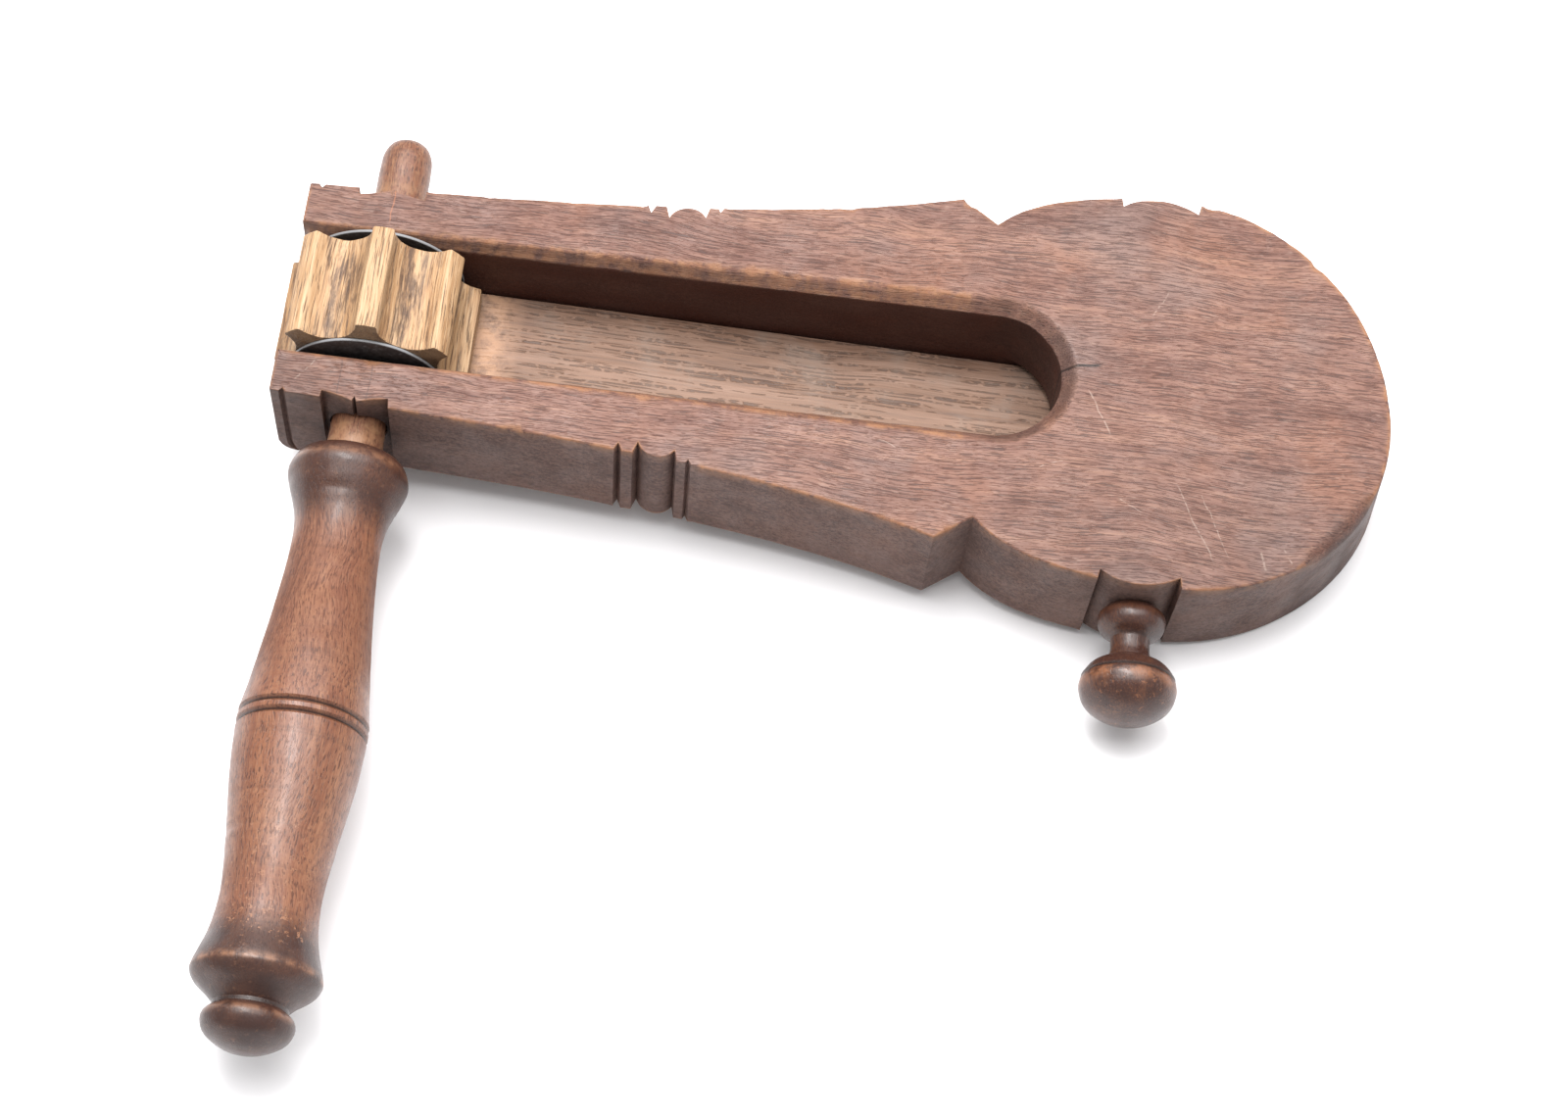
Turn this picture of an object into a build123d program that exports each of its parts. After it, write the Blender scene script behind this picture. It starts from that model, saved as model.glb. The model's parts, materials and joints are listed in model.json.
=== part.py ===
from build123d import *
import os
from math import cos, radians, sin, tan

# Hand ratchet rattle: a handle turns a toothed wheel, whose teeth flick a sprung wooden tongue.
# Working frame: X along the board towards its round head, Y along the crank axis away from the
# handle, Z up through the board. Everything is moved at the end so that the origin is below the
# middle of the whole rattle, at the height of its lowest tooth.

# board
board_thick = 34.0
board_end_x = -22.8
end_half = 31.6
end_round_low = 5.0
end_round_high = 1.0
head_start_x = 224.5
head_start_half = 60.2
toe_out = 3.4
toe_half = 50.0

# slot between the two prongs
slot_half = 18.7
slot_round_x = 170.3
bevel_half_end = 20.2
bevel_half_round = 22.3
bevel_depth = 3.6

# crank: spindle, wheel and discs
spindle_r = 7.5
free_end_r = 7.3
free_end_y = 35.2
spindle_tip_y = 59.8
tenon_r = 6.0
tenon_end_y = -80.0
neck_r = 7.9
bore_clearance = 0.08
bore_mouth_r = 8.8
bore_mouth_depth = 2.5
teeth = 8
tooth_tip_r = 29.0
tooth_width = 6.0
tooth_phase = 87.5
tooth_chamfer = 0.7
valley_centre_r = 30.2
blank_back_x = -25.4
blank_front_x = 27.0
wheel_near_y = -16.9
wheel_far_y = 14.4
disc_r = 21.8
disc_thick = 0.9
near_disc_y = wheel_near_y - disc_thick
far_disc_y = 16.6

# tongue and its housing in the underside of the head
tongue_half = 18.1
tongue_tip_x = 23.0
tongue_tip_top = -6.2
tongue_tip_thick = 4.6
tongue_slope = 1.7
tongue_root_x = 232.0
tongue_gap = 0.3
housing_start_x = 160.0
root_start_x = 189.0
screw_x = 206.0
screw_half_gap = 9.0
screw_r = 2.0
screw_head_r = 4.0
screw_head_height = 2.4
screw_length = 19.0

# handle and side knob
handle_top_y = -43.3
handle_end_y = -209.6
groove_y = (-120.4, -123.5)
groove_depth = 0.8
groove_width = 1.3
knob_x = 213.9
knob_seat_y = -57.6
knob_tenon_r = 5.0
knob_tenon_length = 20.0

half = board_thick / 2


def edges_through(*stretches):
    """Lines for pairs of points, splines for longer runs, end to end."""
    edges = Curve()
    for points in stretches:
        edges += Line(*points) if len(points) == 2 else Spline(*points)
    return edges


def turned(stretches, x=0.0):
    """A turned piece: its profile of (radius, y) points, spun about a line along Y at x."""
    profile = edges_through(*stretches)
    closing = Line(profile @ 1, profile @ 0)
    return Pos(x, 0, 0) * revolve(make_face(profile + closing), Axis.Y, 360)


def rod(radius, y_from, y_to, x=0.0):
    """A plain round rod along Y."""
    middle = (y_from + y_to) / 2
    return Pos(x, middle, 0) * Rot(90, 0, 0) * Cylinder(radius, abs(y_to - y_from))


def tongue_top(x):
    """Height of the tongue's upper face, which falls slightly towards its root."""
    return tongue_tip_top - (x - tongue_tip_x) * tan(radians(tongue_slope))


def board_outline():
    """The board seen from above, up to its round end: cut decoration, waisted prongs, notch."""
    side = edges_through(
        ((board_end_x, 0), (board_end_x, end_half)),
        ((board_end_x, end_half), (-21.6, 32.8)),
        ((-21.6, 32.8), (-19.7, 33.0)),
        ((-19.7, 33.0), (-18.9, 31.9)),
        ((-18.9, 31.9), (-18.1, 33.0)),
        ((-18.1, 33.0), (-9.2, 33.3)),
        ((-9.2, 33.3), (-9.0, 31.3)),
        ((-9.0, 31.3), (-4.6, 32.1), (-0.6, 33.4)),
        ((-0.6, 33.4), (0.0, 32.0)),
        ((0.0, 32.0), (0.6, 33.5)),
        ((0.6, 33.5), (4.6, 32.4), (8.9, 31.6)),
        ((8.9, 31.6), (9.3, 34.4)),
        ((9.3, 34.4), (32.0, 35.6), (54.0, 37.1), (70.6, 38.6)),
        ((70.6, 38.6), (71.6, 36.4)),
        ((71.6, 36.4), (72.7, 38.8)),
        ((72.7, 38.8), (75.7, 38.9)),
        ((75.7, 38.9), (76.8, 35.5)),
        ((76.8, 35.5), (79.0, 38.3), (82.2, 39.3), (86.8, 36.8)),
        ((86.8, 36.8), (87.6, 40.0)),
        ((87.6, 40.0), (90.1, 40.2)),
        ((90.1, 40.2), (90.7, 39.1)),
        ((90.7, 39.1), (91.6, 40.6)),
        ((91.6, 40.6), (107.0, 42.6), (133.0, 47.1), (157.8, 53.4)),
        ((157.8, 53.4), (167.8, 46.1)),
        ((167.8, 46.1), (176.1, 52.3), (188.0, 56.9), (202.1, 59.5)),
        ((202.1, 59.5), (202.6, 56.9)),
        ((202.6, 56.9), (207.5, 59.4), (213.6, 60.1), (219.0, 59.2), (224.0, 56.9)),
        ((224.0, 56.9), (head_start_x, head_start_half)),
    )
    back = Line((head_start_x, head_start_half), (head_start_x, -head_start_half))
    return make_face(side + back + mirror(side, Plane.XZ))


def round_end(z, toe):
    """The head's round end at height z; its wall stands out by toe at the middle of the end."""
    places = [
        (head_start_x, head_start_half),
        (240.0, 56.5),
        (257.0, 45.6),
        (270.6, 28.6),
        (277.9, 8.0),
        (279.3, -6.0),
        (275.9, -24.0),
        (268.6, -37.6),
        (256.0, -49.6),
        (240.0, -57.4),
        (head_start_x, -head_start_half),
    ]
    moved = [(x + toe * max(0, 1 - (y / toe_half) ** 2) ** 1.5, y, z) for x, y in places]
    return make_face(Curve() + Spline(*moved) + Line(moved[-1], moved[0]))


def slot_face(z, half_at_end, half_at_round, start_x):
    """A long opening with a round inner end, open past the board's square end."""
    corner = (slot_round_x, half_at_round, z)
    opposite = (slot_round_x, -half_at_round, z)
    outer = (start_x, half_at_end, z)
    outer_opposite = (start_x, -half_at_end, z)
    return make_face(
        Curve()
        + Line(outer, corner)
        + ThreePointArc(corner, (slot_round_x + half_at_round, 0, z), opposite)
        + Line(opposite, outer_opposite)
        + Line(outer_opposite, outer)
    )


def tongue_solid(side_gap, top_gap, start_x, end_gap):
    """The tongue's shape, or with gaps the housing that takes its root."""
    end_x = tongue_root_x + end_gap
    low = -half - 1 if top_gap else -half + tongue_gap
    points = [
        (start_x, tongue_top(start_x) + top_gap),
        (end_x, tongue_top(end_x) + top_gap),
        (end_x, low),
        (root_start_x, low),
    ]
    if top_gap:
        points.append((start_x, low))
    else:
        points.append((start_x, tongue_top(start_x) - tongue_tip_thick))
    side = make_face(Plane.XZ * Polyline(*points, close=True))
    return extrude(side, tongue_half + side_gap, both=True)


def screw_shape(clearance):
    """A countersunk wood screw driven up from the underside, or its hole when given clearance."""
    base = -half + tongue_gap
    lower = base - 2 if clearance else base
    cone_top = base + screw_head_height
    shank = Pos(0, 0, (lower + base + screw_length - 2) / 2) * Cylinder(
        screw_r + clearance, base + screw_length - 2 - lower
    )
    point = Pos(0, 0, base + screw_length - 1) * Cone(screw_r, 0.4, 2)
    head = Pos(0, 0, (base + cone_top) / 2) * Cone(
        screw_head_r + clearance, screw_r + clearance, screw_head_height
    )
    if clearance:
        return shank + head + Pos(0, 0, (lower + base) / 2) * Cylinder(
            screw_head_r + clearance, base - lower
        )
    driver_slot = Pos(0, 0, base) * Box(3 * screw_head_r, 1.0, 1.6)
    return shank + point + head - driver_slot


screw_places = [Pos(screw_x, side * screw_half_gap, 0) for side in (-1, 1)]

# body board
board = extrude(board_outline(), half, both=True)
board += loft([round_end(-half, toe_out), round_end(half, 0)], ruled=True)
end_edges = board.edges().filter_by(Axis.Y).group_by(Axis.X)[0].sort_by(Axis.Z)
board = fillet(end_edges[:1], end_round_low)
end_edges = board.edges().filter_by(Axis.Y).group_by(Axis.X)[0].sort_by(Axis.Z)
board = fillet(end_edges[-1:], end_round_high)
board -= extrude(slot_face(0, slot_half, slot_half, -40), board_thick, both=True)
board -= loft(
    [
        slot_face(half - bevel_depth, slot_half, slot_half, -40),
        slot_face(half, bevel_half_end, bevel_half_round, -40),
    ],
    ruled=True,
)
board -= rod(spindle_r + bore_clearance, -40, 40)
board -= turned(
    [
        ((0, -40), (bore_mouth_r + 1, -40)),
        ((bore_mouth_r + 1, -40), (bore_mouth_r, -33.4)),
        ((bore_mouth_r, -33.4), (spindle_r, -33.4 + bore_mouth_depth)),
        ((spindle_r, -33.4 + bore_mouth_depth), (0, -33.4 + bore_mouth_depth)),
    ]
)
board -= tongue_solid(tongue_gap, tongue_gap, housing_start_x, tongue_gap)
board -= rod(knob_tenon_r, knob_seat_y + knob_tenon_length, -70, knob_x)
for place in screw_places:
    board -= place * screw_shape(0)

# tongue
tongue = tongue_solid(0, 0, tongue_tip_x, 0)
tip_edges = tongue.edges().filter_by(Axis.Y).group_by(Axis.X)[0]
tongue = chamfer(tip_edges, 0.8)
for place in screw_places:
    tongue -= place * screw_shape(tongue_gap)

tongue_screws = Compound(children=[place * screw_shape(0) for place in screw_places])

# ratchet wheel: hollow valleys scooped between parallel-sided teeth; the blank was narrower than
# the tip circle, so the front and back teeth end short
pitch = 360 / teeth
scoop_r = valley_centre_r * sin(radians(pitch / 2)) - tooth_width / 2
wheel_face = Circle(tooth_tip_r)
for index in range(teeth):
    wheel_face -= Rot(0, 0, tooth_phase + pitch * (index + 0.5)) * (
        Pos(valley_centre_r, 0) * Circle(scoop_r)
    )
wheel_face &= Pos((blank_front_x + blank_back_x) / 2, 0) * Rectangle(
    blank_front_x - blank_back_x, 3 * tooth_tip_r
)
tip_corners = wheel_face.vertices()
wheel_face = chamfer(tip_corners, tooth_chamfer)
wheel = extrude(Plane.XZ * wheel_face, wheel_far_y - wheel_near_y)
wheel = Pos(0, wheel_far_y, 0) * wheel
wheel -= rod(spindle_r, -40, 40)

discs = {}
for name, start in (("near_disc", near_disc_y), ("far_disc", far_disc_y)):
    discs[name] = rod(disc_r, start, start + disc_thick) - rod(spindle_r, -40, 40)

# spindle: tenon inside the handle, flared neck, running length, slimmer free end with a round tip
spindle = turned(
    [
        ((0, tenon_end_y), (tenon_r - 1, tenon_end_y)),
        ((tenon_r - 1, tenon_end_y), (tenon_r, tenon_end_y + 1)),
        ((tenon_r, tenon_end_y + 1), (tenon_r, handle_top_y)),
        ((tenon_r, handle_top_y), (neck_r, handle_top_y)),
        ((neck_r, handle_top_y), (spindle_r, -35.0)),
        ((spindle_r, -35.0), (spindle_r, free_end_y - 0.2)),
        ((spindle_r, free_end_y - 0.2), (free_end_r, free_end_y)),
        ((free_end_r, free_end_y), (free_end_r, 49.5)),
        ((free_end_r, 49.5), (6.9, 54.8), (4.9, 58.4), (0, spindle_tip_y)),
    ]
)

# handle: flange, waist, belly with two fine grooves, waist, end flange and finial
handle = turned(
    [
        ((0, handle_top_y), (12.4, handle_top_y)),
        ((12.4, handle_top_y), (14.2, -44.0), (15.6, -46.2), (16.3, -49.3)),
        (
            (16.3, -49.3),
            (15.2, -53.2),
            (12.4, -62.0),
            (11.9, -72.0),
            (13.3, -90.0),
            (15.7, -110.0),
            (17.2, -122.0),
            (16.4, -136.0),
            (14.2, -154.0),
            (12.9, -168.0),
            (13.9, -179.0),
            (16.6, -188.2),
        ),
        ((16.6, -188.2), (16.7, -190.4), (15.4, -192.6), (12.0, -195.4), (9.8, -197.6)),
        ((9.8, -197.6), (9.7, -198.6)),
        ((9.7, -198.6), (11.6, -200.4), (11.9, -202.6), (10.4, -205.6), (6.0, -208.4)),
        ((6.0, -208.4), (2.2, -209.4), (0, handle_end_y)),
    ]
)
for y in groove_y:
    belly = 17.3
    handle -= turned(
        [
            ((belly - groove_depth, y), (belly + 1, y - groove_width)),
            ((belly + 1, y - groove_width), (belly + 1, y + groove_width)),
        ]
    )
handle -= rod(tenon_r, tenon_end_y, 0)

# side knob: tenon in the board's edge, flange, neck, bulb with one fine groove
knob_tenon_end = knob_seat_y + knob_tenon_length
side_knob = turned(
    [
        ((0, knob_tenon_end), (knob_tenon_r, knob_tenon_end)),
        ((knob_tenon_r, knob_tenon_end), (knob_tenon_r, -60.3)),
        ((knob_tenon_r, -60.3), (7.6, -60.3)),
        ((7.6, -60.3), (9.0, -62.0), (9.2, -64.4), (8.2, -66.6), (6.0, -68.2)),
        ((6.0, -68.2), (5.4, -68.9)),
        ((5.4, -68.9), (5.3, -72.0), (5.9, -74.6)),
        ((5.9, -74.6), (7.0, -75.2)),
        ((7.0, -75.2), (10.6, -77.4), (12.7, -80.6), (13.1, -83.8), (11.8, -87.6), (8.4, -90.6)),
        ((8.4, -90.6), (4.4, -92.2), (0, -92.8)),
    ],
    knob_x,
)
side_knob -= turned(
    [((12.2, -80.8), (14.0, -81.6)), ((14.0, -81.6), (14.0, -80.0))],
    knob_x,
)

nodes = {
    "body_board": board,
    "tongue": tongue,
    "tongue_screws": tongue_screws,
    "spindle": spindle,
    "ratchet_wheel": wheel,
    "near_disc": discs["near_disc"],
    "far_disc": discs["far_disc"],
    "handle": handle,
    "side_knob": side_knob,
}

boxes = [shape.bounding_box() for shape in nodes.values()]
middle_x = (min(b.min.X for b in boxes) + max(b.max.X for b in boxes)) / 2
middle_y = (min(b.min.Y for b in boxes) + max(b.max.Y for b in boxes)) / 2
to_origin = Pos(-middle_x, -middle_y, -min(b.min.Z for b in boxes))

os.makedirs("parts", exist_ok=True)
for name, shape in nodes.items():
    export_step(to_origin * shape, f"parts/{name}.step")
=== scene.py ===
import json
import math

import bmesh
import bpy
import numpy as np
from mathutils import Euler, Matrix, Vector, noise
from mathutils.geometry import delaunay_2d_cdt
from mathutils.kdtree import KDTree


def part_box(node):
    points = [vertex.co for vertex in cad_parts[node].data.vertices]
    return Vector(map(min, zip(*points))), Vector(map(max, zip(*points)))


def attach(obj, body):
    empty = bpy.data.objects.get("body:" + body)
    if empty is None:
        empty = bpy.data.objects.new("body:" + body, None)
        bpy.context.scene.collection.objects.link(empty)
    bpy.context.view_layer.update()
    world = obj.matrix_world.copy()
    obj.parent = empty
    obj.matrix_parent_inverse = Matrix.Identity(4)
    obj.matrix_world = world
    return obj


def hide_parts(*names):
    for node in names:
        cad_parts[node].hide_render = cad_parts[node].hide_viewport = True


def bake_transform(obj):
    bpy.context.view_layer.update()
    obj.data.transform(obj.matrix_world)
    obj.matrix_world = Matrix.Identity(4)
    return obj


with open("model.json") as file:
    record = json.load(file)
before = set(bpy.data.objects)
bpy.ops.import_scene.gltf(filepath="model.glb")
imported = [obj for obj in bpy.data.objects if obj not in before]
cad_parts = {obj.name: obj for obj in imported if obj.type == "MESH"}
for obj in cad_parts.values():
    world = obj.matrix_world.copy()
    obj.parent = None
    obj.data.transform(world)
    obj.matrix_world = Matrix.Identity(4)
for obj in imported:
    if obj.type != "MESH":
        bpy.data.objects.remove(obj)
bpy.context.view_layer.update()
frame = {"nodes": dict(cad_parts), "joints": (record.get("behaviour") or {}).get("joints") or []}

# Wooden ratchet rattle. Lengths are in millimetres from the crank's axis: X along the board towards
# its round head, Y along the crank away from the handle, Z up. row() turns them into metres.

MM = 0.001
crank = next(j for j in frame["joints"] if j["name"] == "crank_spin")
SHAFT = np.array(crank["pos_m"])


def row(points):
    """Millimetres from the crank's axis, as metres in the row frame."""
    return np.asarray(points, float) * MM + SHAFT


def extent(node):
    """Lowest and highest corner of a CAD node, in millimetres from the crank's axis."""
    low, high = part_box(node)
    return (np.array(low) - SHAFT) / MM, (np.array(high) - SHAFT) / MM


# ---------------------------------------------------------------- sizes taken from the frame
board_low, board_high = extent("body_board")
tongue_low, tongue_high = extent("tongue")
wheel_low, wheel_high = extent("ratchet_wheel")
knob_low, knob_high = extent("side_knob")
HALF = board_high[2]
BOARD_END_X = board_low[0]
KNOB_X = (knob_low[0] + knob_high[0]) / 2

# ---------------------------------------------------------------- details of the pieces' shapes
TOP_EDGE_ROUND = 1.0
LIP_ROUND = 0.4
FOOT_ROUND = 5.0
TOE_OUT = 3.4  # how far the head's end leans out at its foot
TOE_HALF = 50.0
SLOT_HALF = 18.7
SLOT_ROUND_X = 170.3
SLOT_MOUTH_HALF = 22.6
SLOT_MOUTH_ROUND = 22.5
BEVEL_DEPTH = 3.6
CARVED_X = ((-50, 10), (70, 93), (201, 226))  # stretches of the long edges with cuts and beads
SPINDLE_R = 7.5
BORE_R = 7.6
BORE_MOUTH_R = 8.8
TONGUE_THICK = 4.6
TONGUE_FALL = math.tan(math.radians(1.7))
ROOT_X = 189.0
SCREW_X = 206.0
SCREW_Y = 9.0
TEETH = 8
TOOTH_WIDTH = 6.0
TOOTH_CORNER = 0.9
TOOTH_PHASE = 87.5
VALLEY_CENTRE_R = 30.2
FLOOR_LEAN_Y = 0.017
FLOOR_GAP = 0.05
FLOOR_HALF = 20000.0


# ---------------------------------------------------------------- small geometry helpers
def noise_at(points, scale, seed=0.0):
    """Smooth noise from about -1 to 1 at each point; scale is per millimetre, one number or three."""
    scaled = np.asarray(points, float) * scale + seed
    return np.array([noise.noise(Vector(p)) for p in scaled])


def smooth_step(x, low, high):
    """0 below low, 1 above high, and an even curve between them."""
    t = np.clip((np.asarray(x, float) - low) / (high - low), 0, 1)
    return t * t * (3 - 2 * t)


def spline(points, spacing):
    """Points on a Catmull-Rom curve through the given ones."""
    p = np.array(points, float)
    ends = np.vstack([2 * p[0] - p[1], p, 2 * p[-1] - p[-2]])
    made = []
    for a, b, c, d in zip(ends, ends[1:], ends[2:], ends[3:]):
        count = max(2, int(np.linalg.norm(c - b) / spacing) + 1)
        for t in np.linspace(0, 1, count, endpoint=False):
            made.append(
                0.5 * (2 * b + (c - a) * t + (2 * a - 5 * b + 4 * c - d) * t**2
                       + (3 * b - a - 3 * c + d) * t**3)
            )
    return made + [p[-1]]


def chain(start, stretches, spacing):
    """Points from start along stretches end to end: one point makes a line, more make a curve."""
    made = [np.array(start, float)]
    for stretch in stretches:
        made += spline([made[-1], *stretch], spacing)[1:]
    return np.array(made)


def ring_faces(rows, columns):
    """Quads of a grid of rows by columns whose last column joins the first."""
    faces = []
    for here in range(0, (rows - 1) * columns, columns):
        above = here + columns
        for c in range(columns):
            n = (c + 1) % columns
            faces.append((here + c, here + n, above + n, above + c))
    return faces


def end_faces(rows, columns):
    """One face over each open end of such a grid."""
    last = (rows - 1) * columns
    return [tuple(range(columns)), tuple(range(last, last + columns))]


def set_fields(mesh, fields):
    """Named numbers per point, for the mesh's material."""
    for field, values in fields.items():
        attribute = mesh.attributes.new(field, "FLOAT", "POINT")
        attribute.data.foreach_set("value", np.asarray(values, np.float32))


def shade(obj, sharp_degrees):
    """Shades the faces smooth up to an angle."""
    obj.data.polygons.foreach_set("use_smooth", [True] * len(obj.data.polygons))
    obj.data.set_sharp_from_angle(angle=math.radians(sharp_degrees))


def new_mesh(name, points, faces, fields=None):
    """A mesh object in the row frame, with named numbers per point for its material."""
    mesh = bpy.data.meshes.new(name)
    mesh.from_pydata(row(points).tolist(), [], faces)
    mesh.update()
    set_fields(mesh, fields or {})
    obj = bpy.data.objects.new(name, mesh)
    bpy.context.scene.collection.objects.link(obj)
    return obj


def tidy(obj, sharp_degrees=38):
    """Points the faces outwards and shades them smooth up to an angle."""
    bm = bmesh.new()
    bm.from_mesh(obj.data)
    bmesh.ops.remove_doubles(bm, verts=bm.verts, dist=2e-6)
    bmesh.ops.recalc_face_normals(bm, faces=bm.faces)
    bm.to_mesh(obj.data)
    bm.free()
    shade(obj, sharp_degrees)


def cut(obj, cutters):
    """Subtracts the cutters from obj and removes them."""
    for cutter in cutters:
        modifier = obj.modifiers.new("cut", "BOOLEAN")
        modifier.operation = "DIFFERENCE"
        modifier.solver = "EXACT"
        modifier.object = cutter
    bpy.context.view_layer.update()
    evaluated = obj.evaluated_get(bpy.context.evaluated_depsgraph_get())
    done = bpy.data.meshes.new_from_object(evaluated)
    obj.modifiers.clear()
    obj.data = done
    for cutter in cutters:
        bpy.data.objects.remove(cutter)


def turned(name, profile, x=0.0, columns=96, fields=None, relief=None):
    """A turned piece: (radius, y) rows spun about a line along Y at x. fields and relief are functions
    of the points and their rows' y, and relief is added to the radius."""
    angles = np.arange(columns) * 2 * math.pi / columns
    rows = len(profile)
    radius = np.repeat(profile[:, 0], columns)
    y = np.repeat(profile[:, 1], columns)
    angle = np.tile(angles, rows)

    def place(r):
        return np.c_[x + r * np.cos(angle), y, r * np.sin(angle)]

    if relief:
        radius = radius + relief(place(radius)) * smooth_step(radius, 0.5, 3.0)
    points = place(radius)
    faces = ring_faces(rows, columns) + end_faces(rows, columns)
    values = {field: value_at(points) for field, value_at in (fields or {}).items()}
    obj = new_mesh(name, points, faces, values)
    tidy(obj)
    return obj


def finish_piece(obj, body, nodes, material):
    """Gives a piece its material and its body, and hides the CAD nodes it stands for."""
    obj.data.materials.clear()
    obj.data.materials.append(material)
    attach(obj, body)
    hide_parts(*nodes)


# ---------------------------------------------------------------- node helpers for materials
class Nodes:
    """Short calls for building a material's nodes."""

    def __init__(self, name):
        self.material = bpy.data.materials.new(name)
        self.material.use_nodes = True
        self.tree = self.material.node_tree
        self.shader = next(n for n in self.tree.nodes if n.type == "BSDF_PRINCIPLED")
        coordinates = self.tree.nodes.new("ShaderNodeTexCoord")
        self.position = coordinates.outputs["Object"]
        self.normal = coordinates.outputs["Normal"]

    def put(self, socket, value):
        """Links a node's output to a socket, or sets the socket to one value."""
        if isinstance(value, bpy.types.NodeSocket):
            self.tree.links.new(value, socket)
        else:
            socket.default_value = value

    def math(self, operation, a, b=0.0, c=None, clamp=False):
        node = self.tree.nodes.new("ShaderNodeMath")
        node.operation = operation
        node.use_clamp = clamp
        self.put(node.inputs[0], a)
        self.put(node.inputs[1], b)
        if c is not None:
            self.put(node.inputs[2], c)
        return node.outputs[0]

    def vector(self, operation, a, b):
        node = self.tree.nodes.new("ShaderNodeVectorMath")
        node.operation = operation
        self.put(node.inputs[0], a)
        self.put(node.inputs[1], b)
        return node.outputs[0]

    def split(self, vector):
        node = self.tree.nodes.new("ShaderNodeSeparateXYZ")
        self.put(node.inputs[0], vector)
        return node.outputs

    def join(self, x, y, z):
        node = self.tree.nodes.new("ShaderNodeCombineXYZ")
        for socket, value in zip(node.inputs, (x, y, z)):
            self.put(socket, value)
        return node.outputs[0]

    def noise(self, vector, detail=2.0, roughness=0.5, distortion=0.0):
        node = self.tree.nodes.new("ShaderNodeTexNoise")
        self.put(node.inputs["Vector"], vector)
        node.inputs["Scale"].default_value = 1.0
        node.inputs["Detail"].default_value = detail
        node.inputs["Roughness"].default_value = roughness
        node.inputs["Distortion"].default_value = distortion
        return node.outputs["Fac"]

    def between(self, value, low, high, out_low=0.0, out_high=1.0):
        """Maps low..high smoothly onto out_low..out_high, clamped."""
        node = self.tree.nodes.new("ShaderNodeMapRange")
        node.interpolation_type = "SMOOTHSTEP"
        for socket, v in zip(node.inputs[:5], (value, low, high, out_low, out_high)):
            self.put(socket, v)
        return node.outputs[0]

    def ramp(self, value, stops):
        node = self.tree.nodes.new("ShaderNodeValToRGB")
        elements = node.color_ramp.elements
        while len(elements) < len(stops):
            elements.new(0.5)
        for element, (place, colour) in zip(elements, stops):
            element.position = place
            element.color = (*colour, 1)
        self.put(node.inputs[0], value)
        return node.outputs[0]

    def mix(self, factor, a, b, blend="MIX"):
        node = self.tree.nodes.new("ShaderNodeMix")
        node.data_type = "RGBA"
        node.blend_type = blend
        sockets = [s for s in node.inputs if s.type == "RGBA"]
        self.put(node.inputs[0], factor)
        for socket, value in zip(sockets, (a, b)):
            self.put(socket, value if isinstance(value, bpy.types.NodeSocket) else (*value, 1))
        return next(s for s in node.outputs if s.type == "RGBA")

    def lay(self, colour, amount, strength, tint):
        """A tint laid over a colour, as thickly as amount times strength."""
        return self.mix(self.math("MULTIPLY", amount, strength), colour, tint)

    def within(self, field, low, high, place):
        """A field of the mesh, broken up where place lies below low to high."""
        return self.math("MULTIPLY", self.field(field), self.between(place, low, high), clamp=True)

    def field(self, name):
        node = self.tree.nodes.new("ShaderNodeAttribute")
        node.attribute_name = name
        return node.outputs["Fac"]

    def bump(self, height, strength, distance=0.0003):
        node = self.tree.nodes.new("ShaderNodeBump")
        node.inputs["Strength"].default_value = strength
        node.inputs["Distance"].default_value = distance
        self.put(node.inputs["Height"], height)
        return node.outputs[0]

    def surface(self, colour, roughness, normal, specular=0.5):
        """Connects the shader; specular is one value for the whole surface."""
        self.put(self.shader.inputs["Base Color"], colour)
        self.put(self.shader.inputs["Roughness"], roughness)
        self.put(self.shader.inputs["Normal"], normal)
        self.shader.inputs["Specular IOR Level"].default_value = specular


def seen(red, green, blue, light=1.0):
    """Reflectance of a surface that shows this 0 to 255 screen colour under light times white."""
    values = []
    for v in (red, green, blue):
        v /= 255
        values.append((v / 12.92 if v <= 0.04045 else ((v + 0.055) / 1.055) ** 2.4) / light)
    return tuple(values)


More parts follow.
